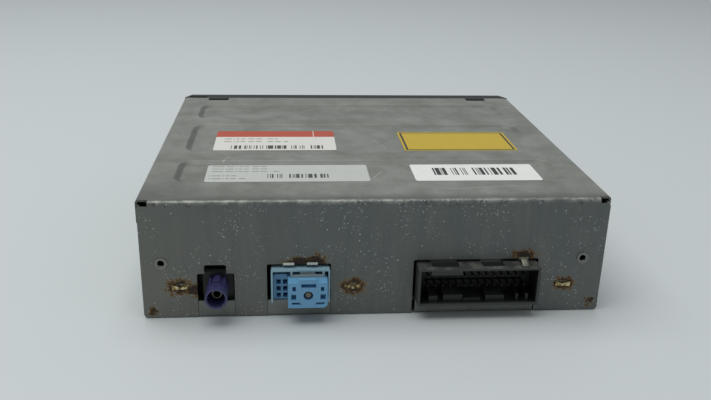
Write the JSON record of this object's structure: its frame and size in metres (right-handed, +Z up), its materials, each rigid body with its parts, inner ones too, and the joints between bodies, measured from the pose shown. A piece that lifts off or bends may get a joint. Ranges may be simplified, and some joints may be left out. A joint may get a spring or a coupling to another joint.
{
  "type": "automotive navigation disc player",
  "caption": "Slot-loading disc player for a dashboard: sheet-steel case with pressed roof panels, connector panel, moulded fascia with sliding slot door and a full disc drive inside",
  "frame": {"origin": "centre of the bounding box's bottom face: the middle of the underside", "axes": "-Y is the side with the connectors, +Y the fascia with the disc slot, +X the right of the connector panel seen from behind it, +Z up"},
  "size_m": [0.1854, 0.1812, 0.0494],
  "materials": {
    "black_plastic": "fine moulded texture",
    "black_resin": "moulded resin",
    "blue_plastic": "moulded",
    "bright_steel": "plain bright steel",
    "cable_film": "smooth film",
    "capacitor_sleeve": "satin",
    "clear_plastic": "polished",
    "dark_plastic": "moulded",
    "felt": "short pile",
    "galvanised_steel": "dull zinc-coated sheet",
    "glass": "polished",
    "green_board": "lacquered laminate",
    "grey_plastic": "moulded",
    "pale_blue_plastic": "moulded",
    "panel_steel": "dull zinc-coated sheet",
    "rubber": "matt",
    "tinned_brass": "tinned",
    "tinned_steel": "tinned",
    "violet_plastic": "moulded",
    "white_plastic": "moulded acetal"
  },
  "bodies": {
    "case": {"top_cover": "galvanised_steel", "chassis_tray": "panel_steel", "aerial_shroud": "violet_plastic", "aerial_contact": "tinned_brass", "aerial_body": "black_resin", "signal_shell": "pale_blue_plastic", "signal_block": "pale_blue_plastic", "signal_latch": "grey_plastic", "coax_module": "blue_plastic", "coax_contact": "tinned_brass", "harness_socket": "dark_plastic", "harness_pins": "tinned_brass", "ground_spring_pair": "bright_steel", "ground_spring": "bright_steel", "front_fascia": "black_plastic", "slot_frame": "black_plastic", "slot_felts": "felt", "eject_dome": "rubber", "front_board": "green_board", "indicator_lens": "clear_plastic", "main_board": "green_board", "board_standoffs": "bright_steel", "processor_chips": "black_resin", "power_capacitors": "capacitor_sleeve", "power_coil": "black_resin", "receiver_shield": "tinned_steel", "ribbon_socket": "white_plastic", "deck_ribbon": "cable_film", "deck_posts": "bright_steel", "cradle_plate": "galvanised_steel", "deck_dampers": "rubber", "deck_plate": "galvanised_steel", "top_plate": "galvanised_steel", "disc_guide": "white_plastic", "clamp_pin": "bright_steel", "clamp_spring": "bright_steel", "spindle_motor": "bright_steel", "guide_rods": "bright_steel", "sled_motor": "bright_steel", "gear_axles": "bright_steel", "loading_motor": "bright_steel"},
    "door": {"slot_door": "black_plastic"},
    "button": {"eject_button": "black_plastic"},
    "cam": {"cam_slider": "white_plastic"},
    "clamp": {"clamp_arm": "galvanised_steel"},
    "disc_clamper": {"clamper": "black_plastic"},
    "turntable_body": {"turntable": "black_plastic", "turntable_pad": "rubber"},
    "sled": {"pickup_sled": "grey_plastic", "objective_lens": "glass"},
    "screw": {"lead_screw": "bright_steel"},
    "roller": {"roller_shaft": "bright_steel", "loading_roller": "rubber", "roller_gear": "white_plastic"},
    "idler": {"idler_gear": "white_plastic"},
    "reduction": {"reduction_gear": "white_plastic"},
    "pinion": {"motor_pinion": "white_plastic"}
  },
  "joints": [
    {"name": "door_slide", "type": "slide", "parent": "case", "child": "door", "axis": [0, 0, -1], "range_m": [0, 0.0099]},
    {"name": "eject_press", "type": "slide", "parent": "case", "child": "button", "axis": [0, -1, 0], "range_m": [0, 0.0012], "stiffness_N_per_m": 1200, "deforming": ["eject_dome"]},
    {"name": "cam_slide", "type": "slide", "parent": "case", "child": "cam", "axis": [0, 1, 0], "range_m": [0, 0.01]},
    {"name": "clamp_hinge", "type": "hinge", "parent": "case", "child": "clamp", "pos_m": [0, -0.05125, 0.0407], "axis": [1, 0, 0], "range_deg": [-3.46, 0]},
    {"name": "clamper_spin", "type": "hinge", "parent": "clamp", "child": "disc_clamper", "pos_m": [0, 0.00175, 0.038], "axis": [0, 0, 1], "continuous": true},
    {"name": "turntable_spin", "type": "hinge", "parent": "case", "child": "turntable_body", "pos_m": [0, 0.00175, 0.03], "axis": [0, 0, 1], "continuous": true},
    {"name": "sled_slide", "type": "slide", "parent": "case", "child": "sled", "axis": [0, -1, 0], "range_m": [0, 0.0345]},
    {"name": "screw_spin", "type": "hinge", "parent": "case", "child": "screw", "pos_m": [0.031, -0.03, 0.0255], "axis": [0, 1, 0], "range_deg": [0, 4140]},
    {"name": "roller_spin", "type": "hinge", "parent": "case", "child": "roller", "pos_m": [0, 0.06835, 0.029], "axis": [1, 0, 0], "continuous": true},
    {"name": "idler_spin", "type": "hinge", "parent": "case", "child": "idler", "pos_m": [-0.0726, 0.0561, 0.0253], "axis": [1, 0, 0], "continuous": true},
    {"name": "reduction_spin", "type": "hinge", "parent": "case", "child": "reduction", "pos_m": [-0.0711, 0.0449, 0.0253], "axis": [1, 0, 0], "continuous": true},
    {"name": "pinion_spin", "type": "hinge", "parent": "case", "child": "pinion", "pos_m": [-0.0697, 0.0329, 0.0253], "axis": [1, 0, 0], "continuous": true}
  ],
  "couplings": [
    {"joint": "clamp_hinge", "follows": "cam_slide", "rad_per_m": -6.03},
    {"joint": "screw_spin", "follows": "sled_slide", "rad_per_m": 2094.4},
    {"joint": "idler_spin", "follows": "roller_spin", "ratio": -0.77778},
    {"joint": "reduction_spin", "follows": "roller_spin", "ratio": 1.4},
    {"joint": "pinion_spin", "follows": "roller_spin", "ratio": -2.8}
  ]
}
